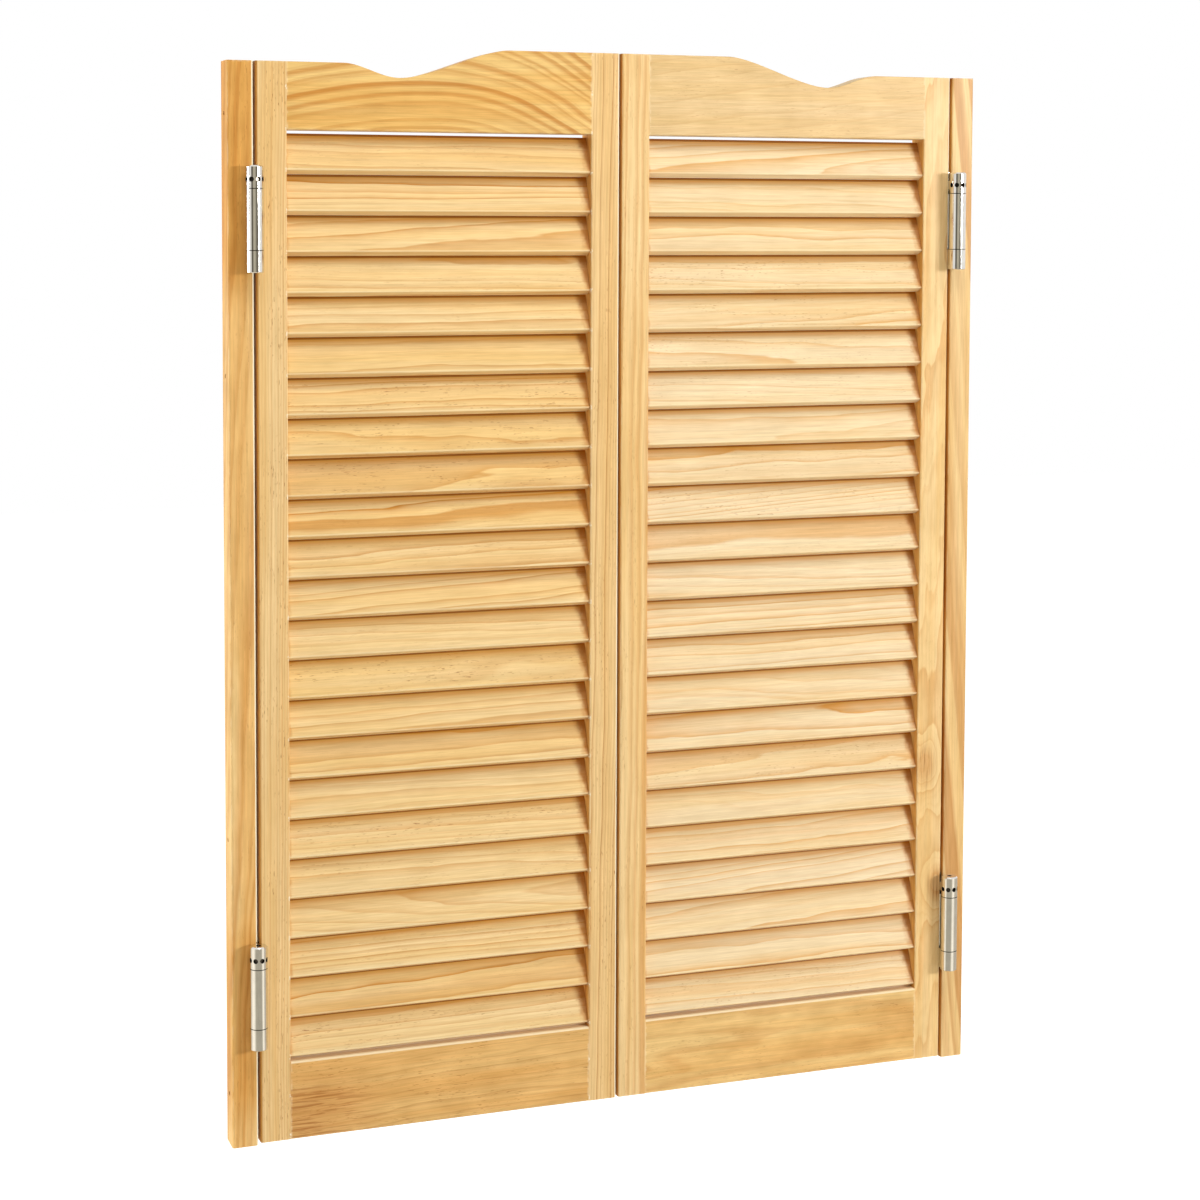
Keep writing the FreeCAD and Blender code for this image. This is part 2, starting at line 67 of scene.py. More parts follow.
class Nodes:
    """A node tree, with short ways to add its nodes."""

    def __init__(self, tree):
        self.tree = tree

    def add(self, kind, inputs=(), **settings):
        node = self.tree.nodes.new(kind)
        for key, value in settings.items():
            setattr(node, key, value)
        for key, value in dict(inputs).items():
            self.put(node.inputs[key], value)
        return node

    def put(self, socket, value):
        if isinstance(value, bpy.types.NodeSocket):
            self.tree.links.new(value, socket)
        else:
            socket.default_value = value

    def math(self, operation, *values, clamp=False):
        node = self.add("ShaderNodeMath", enumerate(values), operation=operation, use_clamp=clamp)
        return node.outputs[0]

    def plus(self, *values):
        total = values[0]
        for value in values[1:]:
            total = self.math("ADD", total, value)
        return total

    def times(self, *values):
        total = values[0]
        for value in values[1:]:
            total = self.math("MULTIPLY", total, value)
        return total

    def minus(self, a, b):
        return self.math("SUBTRACT", a, b)

    def vector(self, x, y, z):
        return self.add("ShaderNodeCombineXYZ", {"X": x, "Y": y, "Z": z}).outputs[0]

    def axes(self, vector):
        node = self.add("ShaderNodeSeparateXYZ", {0: vector})
        return node.outputs["X"], node.outputs["Y"], node.outputs["Z"]

    def map(self, vector, scale=(1, 1, 1), location=(0, 0, 0)):
        return self.add("ShaderNodeMapping", {"Vector": vector, "Scale": scale,
                        "Location": location}).outputs[0]

    def noise(self, vector, detail=2.0, roughness=0.5):
        node = self.add("ShaderNodeTexNoise", {"Vector": vector, "Scale": 1.0, "Detail": detail,
                        "Roughness": roughness})
        return node.outputs["Fac"]

    def dice(self, value):
        """Three random numbers that keep their value while value does."""
        node = self.add("ShaderNodeTexWhiteNoise", {"W": value}, noise_dimensions="1D")
        return self.axes(node.outputs["Color"])

    def ramp(self, value, *stops, smooth=True):
        node = self.add("ShaderNodeValToRGB", {"Fac": value})
        band = node.color_ramp
        band.interpolation = "EASE" if smooth else "LINEAR"
        while len(band.elements) < len(stops):
            band.elements.new(0.5)
        for element, (at, colour) in zip(band.elements, stops):
            element.position = at
            element.color = colour if hasattr(colour, "__len__") else (colour, colour, colour, 1)
        return node.outputs["Color"]

    def step(self, value, low, high):
        """0 below low, 1 above high, smooth between; high may be the smaller."""
        node = self.add("ShaderNodeMapRange", {"Value": value, "From Min": low, "From Max": high},
                        interpolation_type="SMOOTHSTEP")
        return node.outputs["Result"]

    def mix(self, amount, a, b, blend="MIX"):
        node = self.add("ShaderNodeMix", data_type="RGBA", blend_type=blend)
        self.put(node.inputs["Factor"], amount)
        self.put(node.inputs["A"], a)
        self.put(node.inputs["B"], b)
        return node.outputs["Result"]


class Shader(Nodes):
    """A material's node tree."""

    def __init__(self, name):
        self.material = bpy.data.materials.new(name)
        self.material.use_nodes = True
        super().__init__(self.material.node_tree)
        self.surface = self.tree.nodes["Principled BSDF"]
        self.place = self.add("ShaderNodeTexCoord").outputs["Object"]

    def set(self, socket, value):
        self.put(self.surface.inputs[socket], value)

    def bump(self, height, strength, distance):
        node = self.add("ShaderNodeBump", {"Strength": strength, "Distance": distance,
                        "Height": height})
        self.set("Normal", node.outputs[0])


# ---------------------------------------------------------------- pine
# Louvres lean back; the lowest one's front lower edge is the datum of their pattern.
TILT = math.radians(22.497)
STEP_UP = 39.281         # mm from one louvre to the next
BOARD_T = 12.0           # mm, thickness of a louvre
ROW_MARGIN = 1.5         # mm behind a louvre that still counts as that louvre
NOSE_RISE = 4.5          # mm, a louvre's front lower edge above its lowest point
POCKET_FROM = 27.5       # mm up a louvre's face, where the painted shade under the nose above starts
POCKET_DEEP = 35.2       # mm up the face, under the nose of the louvre above
louvre_low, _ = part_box("left_louvres")
NOSE_Y = louvre_low[1] * MM
NOSE_Z = louvre_low[2] * MM + NOSE_RISE

# Depths in mm from the middle of the doors: a mark near the front fades in from the
# first to the second.
HIGHLIGHT_Y = (-9.0, -11.0)
SHADE_Y = (-8.0, -9.5)
INNER_Y = (-13.6, -12.6)
LEDGE_FRONT_Y = (-8.2, -9.2)
ARRIS_Y = (-9.6, -10.8)

# Tones laid over the wood: grain, knots and wear, and painted shade and highlights.
FLECK = srgb(166, 94, 32)
KNOT = srgb(198, 132, 64)
KNOT_STROKE = srgb(164, 92, 34)
RUBBED = srgb(252, 232, 190)
# Painted highlight on a right-hand front corner.
PAINTED_HIGHLIGHT = srgb(255, 250, 222)
# Painted shade under the nose of the louvre above, and a painted shadow line right under it.
PAINTED_POCKET_SHADE = srgb(206, 140, 34)
PAINTED_SEAM_SHADOW = srgb(136, 72, 12)
# Painted shade at both ends of each louvre.
PAINTED_RIGHT_END_SHADE = srgb(184, 112, 30)
PAINTED_LEFT_END_SHADE = srgb(196, 128, 48)
# Painted highlight on each louvre's front arris.
PAINTED_NOSE_HIGHLIGHT = srgb(255, 236, 190)
CHIPPED = srgb(255, 244, 220)
# Painted sheen on the bottom rails' tops, and a painted highlight on their front arris.
PAINTED_LEDGE_SHEEN = srgb(255, 232, 198)
PAINTED_LEDGE_HIGHLIGHT = srgb(255, 236, 196)

# Tints which multiply the wood's colour: darker and warmer bands, painted shade beside the gaps
# and on the sides that the louvres enter, and a darker line along the ledges' fronts.
DARKER_WARMER = (0.88, 0.72, 0.46, 1)
# Painted shade on a corner beside a gap.
PAINTED_GAP_SHADE = (0.74, 0.50, 0.24, 1)
# Painted shade on the sides that the louvres enter.
PAINTED_INNER_SHADE = (0.92, 0.74, 0.46, 1)
LEDGE_FRONT_DARKER = (0.78, 0.64, 0.50, 1)

# Late wood across one ring, as place and amount, and the least that any ring has.
THIN_RINGS = (((0.0, 0.0), (0.30, 0.06), (0.70, 0.36), (0.88, 0.80), (0.95, 1.0),
               (1.0, 0.0)), 0.20)
BROAD_RINGS = (((0.0, 0.10), (0.28, 0.0), (0.52, 0.50), (0.68, 1.0), (0.88, 0.95),
                (1.0, 0.10)), 0.40)
FINE_RINGS = ((0.0, 0.2), (0.4, 0.0), (0.85, 1.0), (1.0, 0.2))
FINE_PER_RING = 3.1
RING_DRIFT_MM = 17.0     # length over which the rings' spacing drifts
RING_DRIFT = 2.6         # rings, by which it drifts
KNOT_STRETCH = 1.7       # a knot's length over its width


class Board(Shader):
    """A pine board's shader, with its place in mm and the colour painted so far."""

    def __init__(self, name, seed):
        super().__init__(name)
        self.x, self.y, self.z = (self.times(v, MM) for v in self.axes(self.place))
        self.seed = seed
        self.shift = (seed * 311.0, seed * 73.0, seed * 41.0)
        self.grained = None          # place along, across and into the grain
        self.colour = None

    def streaks(self, length, width, detail, roughness=0.5):
        """Noise drawn out along the grain, about this long and wide in mm."""
        place = self.map(self.grained, (1 / length, 1 / width, 1 / width), self.shift)
        return self.noise(place, detail, roughness)

    def lay(self, amount, tone):
        """Covers the colour so far with a tone."""
        self.colour = self.mix(amount, self.colour, tone)

    def deepen(self, amount, tint):
        """Multiplies the colour so far by a tint."""
        self.colour = self.mix(amount, self.colour, tint, "MULTIPLY")


def edge_distance(s, low, high):
    """Distance in mm from the nearest long edge of a piece's box."""
    x, y, z = (s.times(MM, s.math("MINIMUM", s.minus(value, a), s.minus(b, value)))
               for value, a, b in zip(s.axes(s.place), low, high))
    small, large = s.math("MINIMUM", x, y), s.math("MAXIMUM", x, y)
    return s.math("MAXIMUM", small, s.math("MINIMUM", large, z))


def louvre_space(s):
    """Place on a louvre: up its face and into its thickness; and its number."""
    back = s.minus(s.y, NOSE_Y)
    rise = s.minus(s.z, NOSE_Z)
    depth = s.minus(s.times(back, math.cos(TILT)), s.times(rise, math.sin(TILT)))
    row = s.math("FLOOR", s.times(s.minus(BOARD_T + ROW_MARGIN, depth),
                                  1 / (STEP_UP * math.sin(TILT))))
    here = s.minus(rise, s.times(row, STEP_UP))
    up_face = s.plus(s.times(here, math.cos(TILT)), s.times(back, math.sin(TILT)))
    into = s.minus(s.times(back, math.cos(TILT)), s.times(here, math.sin(TILT)))
    return up_face, into, row


def pith_distance(s, along, off_b, off_c, wave, bow):
    """Distance from the pith in mm, with the rings' waves and their bend.

    off_b, off_c: how far the place is from the pith, across and in depth."""
    slow = s.streaks(260, 45, 2.0)
    mid = s.streaks(60, 11, 2.0)
    reach = s.math("SQRT", s.plus(s.times(off_b, off_b), s.times(off_c, off_c)))
    if bow:
        where, before, after = bow
        past = s.minus(along, where)
        ahead_of = s.math("MAXIMUM", past, 0.0)
        behind = s.math("MINIMUM", past, 0.0)
        reach = s.plus(reach, s.times(ahead_of, ahead_of, after), s.times(behind, behind, before))
    return s.plus(reach, s.times(s.minus(slow, 0.5), 2.2, wave),
                  s.times(s.minus(mid, 0.5), 0.5, wave))


def round_knots(s, along, across, reach, knots):
    """The distance with the rings pulled round the knots; and how much knot there is."""
    heart = None
    for knot_along, knot_across, radius, pull in knots:
        ka = s.times(s.minus(along, knot_along), 1 / KNOT_STRETCH)
        kb = s.minus(across, knot_across)
        far = s.math("SQRT", s.plus(s.times(ka, ka), s.times(kb, kb)))
        bell = s.math("EXPONENT", s.times(far, far, -1 / (2.2 * radius) ** 2))
        reach = s.plus(reach, s.times(bell, pull))
        core = s.step(far, radius * 2.0, radius * 0.4)
        heart = core if heart is None else s.math("MAXIMUM", heart, core)
    return reach, heart


def growth_rings(s, reach, spacing, kind):
    """Late wood, and the fine lines between, at a distance from the pith."""
    shape, least = kind
    widths = s.noise(s.vector(s.times(reach, 1 / RING_DRIFT_MM), s.seed, 0.0), 1.0)
    phase = s.plus(s.math("DIVIDE", reach, spacing), s.times(widths, RING_DRIFT))
    late = s.axes(s.ramp(s.math("FRACT", phase), *shape, smooth=False))[0]
    luck = s.dice(s.math("FLOOR", phase))[0]
    late = s.times(late, s.plus(least, s.times(luck, 1.0 - least)))
    fine_phase = s.times(phase, FINE_PER_RING)
    fine = s.axes(s.ramp(s.math("FRACT", fine_phase), *FINE_RINGS))[0]
    fine = s.times(fine, s.dice(s.math("FLOOR", fine_phase))[1])
    return late, fine


def bare_wood(s, tone, late, fine, fibre, fleck, strength, flecks, blotch, own_warmth):
    """The board's colour before any mark on it.

    own_warmth: how warm the piece is by itself, where it isn't the same all over."""
    strand = s.streaks(130, 2.6, 2.0, 0.6)
    broad = s.streaks(380, 17, 2.0)
    cloud = s.streaks(46, 24, 2.0, 0.6)
    pale, warm, dark = (srgb(*t) for t in tone)
    warmth = s.step(broad, 0.34, 0.68)
    if own_warmth is not None:
        warmth = s.plus(s.times(warmth, 0.6), s.times(own_warmth, 0.4))
    s.colour = s.mix(warmth, pale, warm)
    s.lay(s.times(late, strength), dark)
    s.lay(s.times(fine, 0.16), dark)
    s.lay(s.times(fleck, flecks), FLECK)
    light = s.plus(1.0, s.times(s.minus(fibre, 0.5), 0.34), s.times(s.minus(strand, 0.5), 0.30),
                   s.times(s.minus(broad, 0.5), 0.20), s.times(s.minus(cloud, 0.5), 0.30 * blotch))
    s.deepen(1.0, s.vector(light, s.math("POWER", light, 1.25), s.math("POWER", light, 1.7)))


def dark_knots(s, heart):
    """Amber wood with dark strokes where the knots are."""
    stroke = s.step(s.streaks(44, 2.1, 3.0, 0.6), 0.48, 0.62)
    s.lay(s.times(heart, 0.40), KNOT)
    s.lay(s.times(heart, stroke, 0.60), KNOT_STROKE)


def rubbed_edges(s, low, high):
    """Varnish worn thin in places along the long edges."""
    near = s.step(edge_distance(s, low, high), 2.0, 0.3)
    worn = s.step(s.streaks(18, 6, 3.0), 0.42, 0.62)
    s.lay(s.times(near, worn, 0.35), RUBBED)


def painted_highlight_corner(s, edge_x, faint_z, full_z):
    """A painted highlight on the front corner of a right-hand edge."""
    band = s.times(s.step(s.x, edge_x - 1.9, edge_x - 1.2), s.step(s.y, *HIGHLIGHT_Y),
                   s.step(s.z, faint_z, full_z))
    s.lay(s.times(band, 0.92), PAINTED_HIGHLIGHT)


def painted_shade_corner(s, edge_x, width):
    """Painted shade on the front corner of a left-hand edge, beside a gap."""
    s.deepen(s.times(s.step(s.x, edge_x + width, edge_x + width * 0.3),
                     s.step(s.y, *SHADE_Y)), PAINTED_GAP_SHADE)


def louvre_painted_light(s, up_face, into, row, opening):
    """Painted shade under the nose above and at both ends, and a painted highlight on the front
    arris.
    """
    left_end, right_end = opening
    front = s.step(into, 2.0, 0.6)
    s.lay(s.times(front, s.step(up_face, POCKET_FROM, POCKET_DEEP), 0.75), PAINTED_POCKET_SHADE)
    s.lay(s.times(front, s.step(up_face, POCKET_DEEP - 0.5, POCKET_DEEP + 0.3), 0.8), PAINTED_SEAM_SHADOW)
    smear = s.noise(s.map(s.vector(s.x, up_face, row), (1 / 7, 1 / 9, 1.7), s.shift), 2.0)
    smear = s.minus(smear, 0.5)
    near_right = s.plus(s.times(s.minus(right_end, s.x), 1 / 14.0), s.times(smear, 0.7),
                        s.times(up_face, -0.008))
    s.lay(s.times(front, s.step(near_right, 0.62, -0.05), 0.8), PAINTED_RIGHT_END_SHADE)
    near_left = s.plus(s.times(s.minus(s.x, left_end), 1 / 6.0), s.times(smear, 0.9))
    s.lay(s.times(front, s.step(near_left, 0.6, 0.0), 0.5), PAINTED_LEFT_END_SHADE)
    arris = s.times(s.step(up_face, 1.6, 0.6), s.step(into, 1.4, 0.4))
    s.lay(s.times(arris, 0.45), PAINTED_NOSE_HIGHLIGHT)


def painted_inner_shade(s, side_x):
    """Painted shade on the side that the louvres enter."""
    beside = s.step(s.math("ABSOLUTE", s.minus(s.x, side_x)), 0.5, 0.2)
    s.deepen(s.times(beside, s.step(s.y, *INNER_Y)), PAINTED_INNER_SHADE)


def nicked_edge(s, edge_x):
    """Pale nicks where each louvre's nose meets the edge."""
    turns = s.times(s.minus(s.z, NOSE_Z), 1 / STEP_UP)
    off = s.times(s.minus(turns, s.math("ROUND", turns)), STEP_UP)
    mark = s.times(s.step(s.math("ABSOLUTE", off), 3.2, 1.2),
                   s.step(s.math("ABSOLUTE", s.minus(s.x, edge_x)), 2.0, 1.0),
                   s.step(s.streaks(2.2, 1.6, 2.0), 0.46, 0.56))
    s.lay(s.times(mark, 0.8), CHIPPED)


def painted_ledge_light(s, height):
    """A painted sheen on an upward face, a darker line along its front, and a painted highlight on
    the arris before it.
    """
    upward = s.step(s.z, height - 0.7, height - 0.1)
    s.lay(s.times(upward, 0.9), PAINTED_LEDGE_SHEEN)
    s.deepen(s.times(upward, s.step(s.y, *LEDGE_FRONT_Y)), LEDGE_FRONT_DARKER)
    arris = s.times(s.step(s.z, height - 2.2, height - 1.4), s.step(s.y, *ARRIS_Y))
    s.lay(s.times(arris, 0.8), PAINTED_LEDGE_HIGHLIGHT)


def pine(name, grain, tone, pith, rings, seed, edges=None, slats=None, knots=(), bow=None,
         flecks=0.4, blotch=0.5, ledge=None, chips=None, glint=None, gap=None, inner=None,
         bands=False, darker_bands=()):
    """Varnished pine.

    grain: "x" or "z", the axis it runs along.
    tone: pale, warm and latewood colours.
    pith: across, depth, drift across and in depth per mm of length.
    rings: spacing in mm, waviness in mm, strength.
    edges: box of the piece, whose long edges are rubbed.
    slats: ends of the louvres' opening; each louvre then has a pith and rings of its own.
    knots: (along, across, radius, pull of the rings in mm), with dark strokes round them.
    bow: (where, before, after), the rings' bend along the piece per square mm.
    flecks, blotch: strength of the short dark flecks and of the cloudy light.
    ledge: height of an upward face with a painted sheen, a darker line along its front and a
    painted highlight on its front arris.
    chips: x of an edge that is nicked where each louvre's nose meets it.
    glint: x of a right-hand edge whose front corner gets a painted highlight,
    and the heights between which that fades in.
    gap: x of a left-hand edge whose front corner gets painted shade, beside a gap, and how wide in
    mm.
    inner: x of the side that the louvres enter, which gets painted shade.
    bands: broad even latewood instead of thin uneven lines.
    darker_bands: (from, to, fade, amount) stretches of height that are darker and warmer."""
    s = Board(name, seed)
    along, across, into = (s.z, s.x, s.y) if grain == "z" else (s.x, s.z, s.y)
    across0, depth0, drift_b, drift_c = pith
    spacing, wave, strength = rings
    pith_b = s.plus(across0, s.times(along, drift_b))
    pith_c = s.plus(depth0, s.times(along, drift_c))
    own_warmth = None
    if slats:
        across, into, row = louvre_space(s)
        # Six random numbers for each louvre.
        p1, p2, p3 = s.dice(s.plus(row, seed))
        p4, p5, p6 = s.dice(s.plus(row, seed + 51.3))
        along = s.plus(s.x, s.times(p1, 4000.0))
        pith_b = s.plus(19.0, s.times(s.minus(p2, 0.5), 150.0),
                        s.times(s.minus(p4, 0.5), s.times(s.x, 0.10)))
        pith_c = s.plus(18.0, s.times(p3, 50.0),
                        s.times(s.minus(p5, 0.5), s.times(s.x, 0.08)))
        spacing = s.plus(4.0, s.times(p6, 10.0))
        wave = s.plus(wave * 0.4, s.times(p6, wave * 1.5))
        strength = s.plus(strength * 0.55, s.times(p4, strength * 0.9))
        flecks = s.times(flecks, s.step(p5, 0.25, 0.95))
        own_warmth = s.step(p6, 0.1, 0.9)

    s.grained = s.vector(along, across, into)
    reach = pith_distance(s, along, s.minus(across, pith_b), s.minus(into, pith_c), wave, bow)
    reach, heart = round_knots(s, along, across, reach, knots)
    late, fine = growth_rings(s, reach, spacing, BROAD_RINGS if bands else THIN_RINGS)

    fibre = s.streaks(30, 0.8, 3.0, 0.65)
    nest = s.step(s.streaks(70, 13, 2.0), 0.40, 0.62)
    fleck = s.times(s.step(s.streaks(7, 0.8, 1.0), 0.65, 0.72), nest)
    bare_wood(s, tone, late, fine, fibre, fleck, strength, flecks, blotch, own_warmth)
    if heart:
        dark_knots(s, heart)
    for low, high, fade, amount in darker_bands:
        inside = s.times(s.step(s.z, low - fade, low), s.step(s.z, high + fade, high))
        s.deepen(s.times(inside, amount), DARKER_WARMER)
    if edges:
        rubbed_edges(s, *edges)
    if glint is not None:
        painted_highlight_corner(s, *glint)
    if gap is not None:
        painted_shade_corner(s, *gap)
    if slats:
        louvre_painted_light(s, across, into, row, slats)
    if inner is not None:
        painted_inner_shade(s, inner)
    if chips is not None:
        nicked_edge(s, chips)
    if ledge is not None:
        painted_ledge_light(s, ledge)
    s.set("Base Color", s.colour)

    rough = s.minus(s.plus(0.36, s.times(fibre, 0.16)), s.times(late, 0.05))
    s.set("Roughness", rough)
    s.set("Specular IOR Level", 0.14)
    s.set("Coat Weight", 0.05)
    s.set("Coat Roughness", 0.20)
    s.bump(s.minus(fibre, s.times(fleck, 0.4)), 0.20, 0.00008)
    return s.material


# ---------------------------------------------------------------- metal
AXIS_X, AXIS_Y = 374.2, 26.35     # mm, a barrel's axis from the middle of the doors
BARREL_R = 8.5
HINGE_Z, HINGE_RISE = 100.0, 750.0  # mm, foot of the lower hinges; from there to the upper
SEAMS = (21.15, 79.65)            # mm above a hinge's foot
CAP_TOP = 101.6                   # mm above a hinge's foot
TARNISH = srgb(120, 108, 88)
# Dark oil in the seams, and painted shade in the caps' holes.
OIL_AND_BORE_SHADE = srgb(52, 46, 38)


def nickel(name, colour, rough, seed=0.0, barrel=False, bore_shade=0.0):
    """Satin plated steel, with faint brushing, handling marks and a dull film.

    barrel: oil darkens the seams of the barrels; bore_shade: how much painted shade darkens the
    holes in the caps."""
    s = Shader(name)
    p = s.map(s.place, (MM, MM, MM), (seed, seed, seed))
    brush = s.noise(s.map(p, (1.6, 1.6, 0.05)), 3.0, 0.6)
    cloud = s.noise(s.map(p, (1 / 9, 1 / 9, 1 / 14)), 3.0, 0.55)
    speck = s.step(s.noise(s.map(p, (1.3, 1.3, 1.3)), 2.0), 0.70, 0.78)
    base = s.mix(s.step(cloud, 0.35, 0.7), srgb(*colour), srgb(*(c - 9 for c in colour)))
    base = s.mix(s.times(s.step(brush, 0.3, 0.7), 0.25), base, srgb(*(c - 26 for c in colour)))
    base = s.mix(s.times(speck, 0.3), base, TARNISH)
    if barrel:
        x, y, z = (s.times(v, MM) for v in s.axes(s.place))
        dx = s.minus(s.math("ABSOLUTE", x), AXIS_X)
        dy = s.minus(s.math("ABSOLUTE", y), AXIS_Y)
        radius = s.math("SQRT", s.plus(s.times(dx, dx), s.times(dy, dy)))
        along = s.math("FLOORED_MODULO", s.minus(z, HINGE_Z), HINGE_RISE)
        # Painted shade inside the holes in a cap.
        bore = s.times(s.step(radius, BARREL_R - 0.15, BARREL_R - 0.6),
                       s.step(along, CAP_TOP - 1.6, CAP_TOP - 2.0))
        grime_and_shade = s.times(bore, bore_shade)
        for at in SEAMS:
            line = s.step(s.math("ABSOLUTE", s.minus(along, at)), 0.55, 0.25)
            grime_and_shade = s.math("MAXIMUM", grime_and_shade, line)
        base = s.mix(s.times(grime_and_shade, 0.96), base, OIL_AND_BORE_SHADE)
    s.set("Base Color", base)
    s.set("Metallic", 1.0)
    s.set("Roughness", s.plus(rough, s.times(s.minus(cloud, 0.5), 0.06), s.times(speck, 0.15)))
    s.bump(brush, 0.08, 0.00003)
    return s.material


# ---------------------------------------------------------------- wood pieces
ORANGE = ((246, 210, 146), (236, 188, 116), (206, 136, 58))
STILE = ((246, 214, 157), (236, 197, 132), (210, 140, 60))
BISCUIT = ((243, 209, 150), (233, 193, 128), (190, 120, 50))
AMBER = ((242, 204, 130), (232, 184, 104), (198, 126, 46))
GOLD = ((244, 216, 162), (236, 199, 132), (204, 138, 54))
PALE = ((244, 224, 186), (237, 209, 158), (218, 158, 80))
BUTTER = ((233, 202, 149), (225, 190, 131), (200, 144, 76))
HONEY = ((236, 193, 124), (226, 173, 100), (186, 116, 48))
WHEAT = ((240, 203, 136), (231, 184, 112), (200, 134, 62))

TOP_RAIL = 986           # mm, height of the top rails' undersides
LEDGE = 79               # mm, height of the bottom rails' tops
WHOLE = (-100, 0)        # a mark that fades in below the foot runs all the way up

# Distances in mm from the line where the leaves meet.
LEAF_IN, LEAF_OUT = 1.2, 370.2    # a leaf's edges
OPEN_IN, OPEN_OUT = 31.2, 340.2   # its opening with the louvres
STRIP_IN = 372.6                  # the strip's edge beside the leaf

# For each piece what pine() takes: grain, tone, pith, rings, seed and its marks.
boards = {
    "left_strip": ("z", ORANGE, (-520, 30, 0.06, 0.01), (9.5, 8, 0.55), 1.3,
                   dict(blotch=1.4, flecks=0.35, glint=(-STRIP_IN, *WHOLE), bands=True,
                        darker_bands=[(870, 1060, 70, 1.0), (60, 190, 50, 0.75)])),
    "left_hinge_stile": ("z", STILE, (-560, 20, 0.006, 0.0), (2.9, 2.6, 0.70), 2.1,
                         dict(flecks=0.75, chips=-OPEN_OUT, gap=(-LEAF_OUT, 2.4))),
    "left_meeting_stile": ("z", BISCUIT, (180, 10, 0.012, 0.0), (3.3, 4.0, 0.95), 3.7,
                           dict(flecks=0.75, chips=-OPEN_IN, glint=(-LEAF_IN, *WHOLE),
                                inner=-OPEN_IN)),
    "left_top_rail": ("x", AMBER, (TOP_RAIL - 420, 0, 0.0, 0.0), (11.0, 5.0, 0.80), 4.2,
                      dict(bow=(-195, 0.00078, 0.0021), flecks=0.15, blotch=0.7, bands=True)),
    "left_bottom_rail": ("x", HONEY, (-60, 20, 0.03, 0.02), (6.5, 8, 0.42), 5.5,
                         dict(knots=[(-318, 26, 26, 9)],
                              flecks=0.7, blotch=1.3, ledge=LEDGE)),
    "left_louvres": ("x", GOLD, (0, 0, 0, 0), (4, 6, 0.80), 6.9,
                     dict(slats=(-OPEN_OUT, -OPEN_IN), flecks=0.75)),
    "right_strip": ("z", BISCUIT, (540, 8, -0.11, 0.0), (24.0, 5, 0.65), 7.4,
                    dict(flecks=0.1, blotch=0.5, bands=True, gap=(STRIP_IN, 1.0))),
    "right_hinge_stile": ("z", STILE, (356, 30, 0.02, 0.05), (7.0, 11, 0.55), 8.8,
                          dict(knots=[(320, 349, 9, 18), (190, 366, 8, 16)], inner=OPEN_OUT,
                               flecks=0.25, blotch=1.2, glint=(LEAF_OUT, 760, 1000))),
    "right_meeting_stile": ("z", STILE, (-180, 12, 0.008, 0.0), (8.5, 7.0, 0.60), 9.1,
                            dict(flecks=0.4, bands=True, gap=(LEAF_IN, 0.8))),
    "right_top_rail": ("x", BUTTER, (1100, 34, 0.10, 0.05), (8.0, 12, 0.30), 10.6,
                       dict(flecks=0.4, blotch=1.0)),
    "right_bottom_rail": ("x", WHEAT, (44, 30, 0.02, 0.04), (8.0, 11, 0.45), 11.3,
                          dict(flecks=0.4, blotch=1.5, bands=True, ledge=LEDGE)),
    "right_louvres": ("x", PALE, (0, 0, 0, 0), (4, 6, 0.72), 12.2,
                      dict(slats=(OPEN_IN, OPEN_OUT), flecks=0.7)),
}

wood = {}
for piece, (grain, tone, pith, rings, seed, marks) in boards.items():
    edges = None if "louvres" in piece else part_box(piece)
    wood[piece] = pine("pine_" + piece, grain, tone, pith, rings, seed, edges=edges, **marks)
beech = pine("beech_dowels", "x", ((222, 190, 148), (212, 178, 134), (188, 148, 104)),
             (40, 20, 0, 0.01), (1.6, 2, 0.3), 13.0)
wood["left_dowels"] = wood["right_dowels"] = beech

NICKEL = (232, 228, 220)
satin = nickel("satin_nickel", NICKEL, 0.11, barrel=True)
cap_nickel = nickel("cap_nickel", NICKEL, 0.11, 3.0, barrel=True, bore_shade=1.0)
bright = nickel("bright_steel", (176, 176, 178), 0.22, 5.0)

WELD_GAP = 2e-6                   # metres
SHARP = math.radians(32)          # edges above this angle stay sharp
FACE_SHARE = 80                   # pull of large faces on the shading, 50 is none


def finish_cad(node, material):
    """Gives a CAD node its material and even shading over its rounded edges."""
    mesh = node.data
    mesh.materials.clear()
    mesh.materials.append(material)
    mesh.polygons.foreach_set("material_index", [0] * len(mesh.polygons))
    mesh.polygons.foreach_set("use_smooth", [True] * len(mesh.polygons))
    if "custom_normal" in mesh.attributes:
        mesh.attributes.remove(mesh.attributes["custom_normal"])
    weld = node.modifiers.new("weld", "WELD")
    weld.merge_threshold = WELD_GAP
    split = node.modifiers.new("split", "EDGE_SPLIT")
    split.split_angle = SHARP
    even = node.modifiers.new("even", "WEIGHTED_NORMAL")
    even.mode = "FACE_AREA_WITH_ANGLE"
    even.weight = FACE_SHARE


for name, node in nodes.items():
    material = wood.get(name)
    if material is None:
        material = cap_nickel if name.endswith("_cap") else satin
        if any(k in name for k in ("spring", "spindle", "screws")):
            material = bright
    finish_cad(node, material)


# ---------------------------------------------------------------- stage
WHITE = (1, 1, 1, 1)
FLOOR_Z = -0.35          # the doors hang above the floor, as in a doorway
FLOOR_SIZE = 8           # metres from the middle to the floor's edge
FLOOR_TONE = (0.85, 0.85, 0.85, 1)
FLOOR_GLOW = 0.8         # for the camera only


def compass(degrees):
    """Place on a ramp of a compass angle from straight ahead of the doors."""
    return 0.5 + degrees / 360


def turned(n, x, y):
    """Compass angle of a direction, as a place on such a ramp."""
    return n.plus(0.5, n.times(n.math("ARCTAN2", x, n.times(y, -1.0)), 0.5 / math.pi))


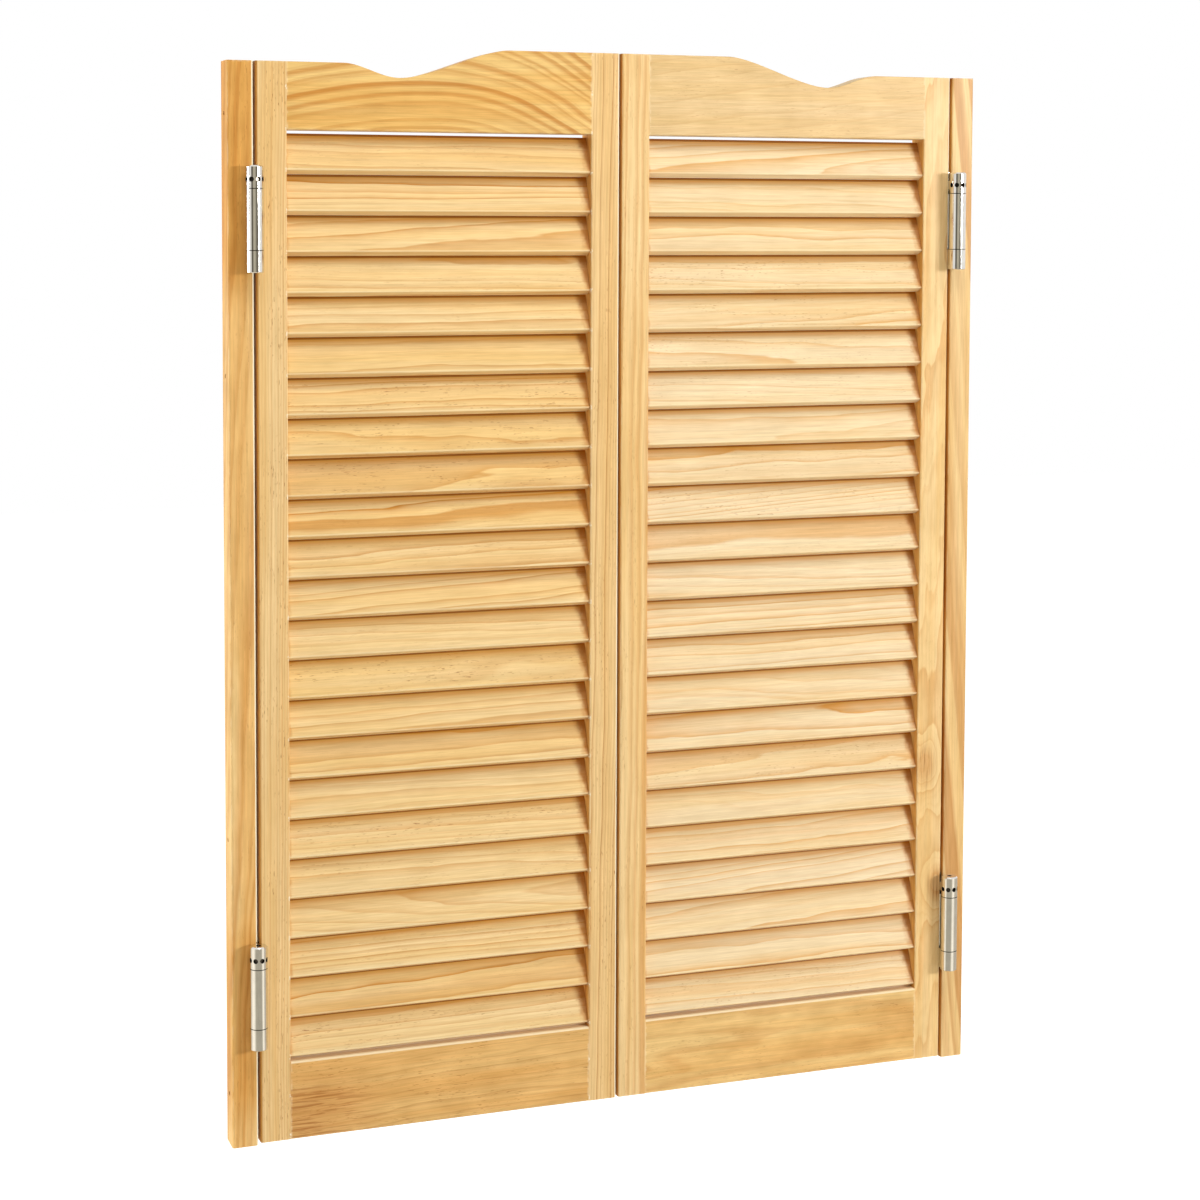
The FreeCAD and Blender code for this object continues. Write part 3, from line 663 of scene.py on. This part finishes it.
def floor_material():
    """Pale floor that the camera sees as white; in polished metal it is a warm grey
    ahead of the doors and light to both sides."""
    material = bpy.data.materials.new("floor_pale")
    material.use_nodes = True
    tree = material.node_tree
    tree.nodes.clear()
    n = Nodes(tree)
    x, y, _ = n.axes(n.add("ShaderNodeTexCoord").outputs["Object"])
    grey, light, side = (0.50, 0.47, 0.39, 1), (1.25, 1.19, 1.05, 1), (0.62, 0.57, 0.49, 1)
    seen = n.ramp(turned(n, x, y), (compass(-125), side), (compass(-95), light),
                  (compass(-76), light), (compass(-54), grey), (compass(-24), grey),
                  (compass(12), grey), (compass(31), light), (compass(44), light),
                  (compass(62), side), (compass(110), side), smooth=False)
    path = n.add("ShaderNodeLightPath")
    glow = n.add("ShaderNodeEmission", {"Color": WHITE,
                 "Strength": n.times(path.outputs["Is Camera Ray"], FLOOR_GLOW)})
    diffuse = n.add("ShaderNodeBsdfDiffuse", {"Color": FLOOR_TONE})
    plain = n.add("ShaderNodeAddShader", {0: diffuse.outputs[0], 1: glow.outputs[0]})
    mirrored = n.add("ShaderNodeEmission", {"Color": seen, "Strength": 1.0})
    both = n.add("ShaderNodeMixShader", {0: path.outputs["Is Glossy Ray"],
                 1: plain.outputs[0], 2: mirrored.outputs[0]})
    n.add("ShaderNodeOutputMaterial", {"Surface": both.outputs[0]})
    return material


sheet = bmesh.new()
bmesh.ops.create_grid(sheet, x_segments=1, y_segments=1, size=FLOOR_SIZE,
                      matrix=Matrix.Translation((0, 0, FLOOR_Z)))
mesh = bpy.data.meshes.new("floor")
sheet.to_mesh(mesh)
sheet.free()
mesh.materials.append(floor_material())
floor = bpy.data.objects.new("floor", mesh)
scene.collection.objects.link(floor)

AMBIENT = (0.355, 0.338, 0.296, 1)
DARK, OLIVE = (0.14, 0.125, 0.10, 1), (0.56, 0.52, 0.42, 1)
SHADE, BLACK = (0.26, 0.24, 0.19, 1), (0.09, 0.08, 0.07, 1)
GREY = 0.5
OPEN_SKY = (0.18, 0.28)  # upward slope at which the screens end and the ceiling starts


def studio():
    """Even light round the doors: white to the camera, soft and warm to matt surfaces.

    Polished metal sees the dark gaps between the white screens in front of the doors,
    by compass angle from straight ahead of them, and a white ceiling."""
    world = bpy.data.worlds.new("studio")
    world.use_nodes = True
    world.node_tree.nodes.clear()
    n = Nodes(world.node_tree)
    x, y, z = n.axes(n.add("ShaderNodeTexCoord").outputs["Generated"])
    screens = n.ramp(turned(n, x, y), (compass(-108), GREY), (compass(-80), WHITE),
                     (compass(-62), WHITE), (compass(-51), DARK), (compass(-37), DARK),
                     (compass(-28), OLIVE), (compass(-8), OLIVE), (compass(4), SHADE),
                     (compass(34), BLACK), (compass(42), WHITE), smooth=False)
    screens = n.mix(n.step(z, *OPEN_SKY), screens, WHITE)
    path = n.add("ShaderNodeLightPath").outputs
    plain = n.math("MAXIMUM", path["Is Camera Ray"], path["Is Transmission Ray"])
    level = n.mix(path["Is Glossy Ray"], AMBIENT, screens)
    level = n.mix(plain, level, WHITE)
    sky = n.add("ShaderNodeBackground", {"Color": level, "Strength": 1.0})
    n.add("ShaderNodeOutputWorld", {"Surface": sky.outputs[0]})
    return world


scene.world = studio()


# ---------------------------------------------------------------- lamps
def lamp(name, at, aim, size, watts):
    """A rectangular lamp at a place in metres, aimed at another."""
    light = bpy.data.lights.new(name, "AREA")
    light.shape = "RECTANGLE"
    light.size, light.size_y = size
    light.energy = watts
    holder = bpy.data.objects.new(name, light)
    scene.collection.objects.link(holder)
    facing = (Vector(aim) - Vector(at)).to_track_quat("-Z", "Y").to_matrix().to_4x4()
    holder.matrix_world = Matrix.Translation(at) @ facing


lamp("key", (2.15, -2.9, 1.2), (0, 0, 0.5), (1.1, 0.5), 62)
lamp("top", (-0.1, -1.3, 2.7), (0, 0, 0.5), (1.6, 0.8), 22)
lamp("rim", (-3.0, 0.75, 0.75), (-0.2, 0, 0.55), (0.8, 1.0), 55)

scene.view_settings.view_transform = "Standard"
